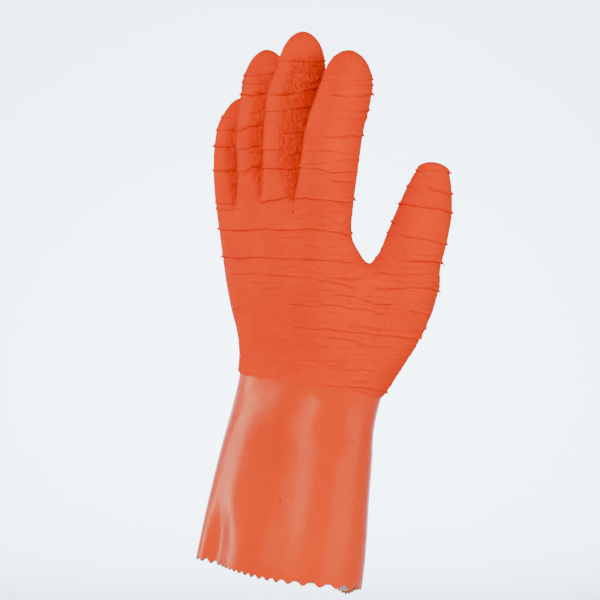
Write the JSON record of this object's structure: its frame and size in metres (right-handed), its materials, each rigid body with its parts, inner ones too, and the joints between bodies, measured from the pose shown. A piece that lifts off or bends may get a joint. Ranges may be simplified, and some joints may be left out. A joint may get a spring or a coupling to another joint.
{
  "type": "chemical-resistant glove",
  "caption": "Left-hand latex work glove with a crinkled grip coat, a long smooth cuff with a pinked hem, and an open cotton-lined hollow.",
  "frame": {"origin": "centre of the cuff's mouth", "axes": "+Z from the cuff's mouth to the fingertips, +X towards the thumb's side, -Y out of the back of the hand"},
  "size_m": [0.1448, 0.0994, 0.3084],
  "materials": {
    "crinkled_latex": "matte",
    "smooth_latex": "semi-gloss",
    "cotton_knit": "matte"
  },
  "bodies": {
    "root": {"palm": "crinkled_latex", "thumb": "crinkled_latex", "index_finger": "crinkled_latex", "middle_finger": "crinkled_latex", "ring_finger": "crinkled_latex", "little_finger": "crinkled_latex", "gauntlet": "smooth_latex", "liner": "cotton_knit"}
  },
  "joints": []
}
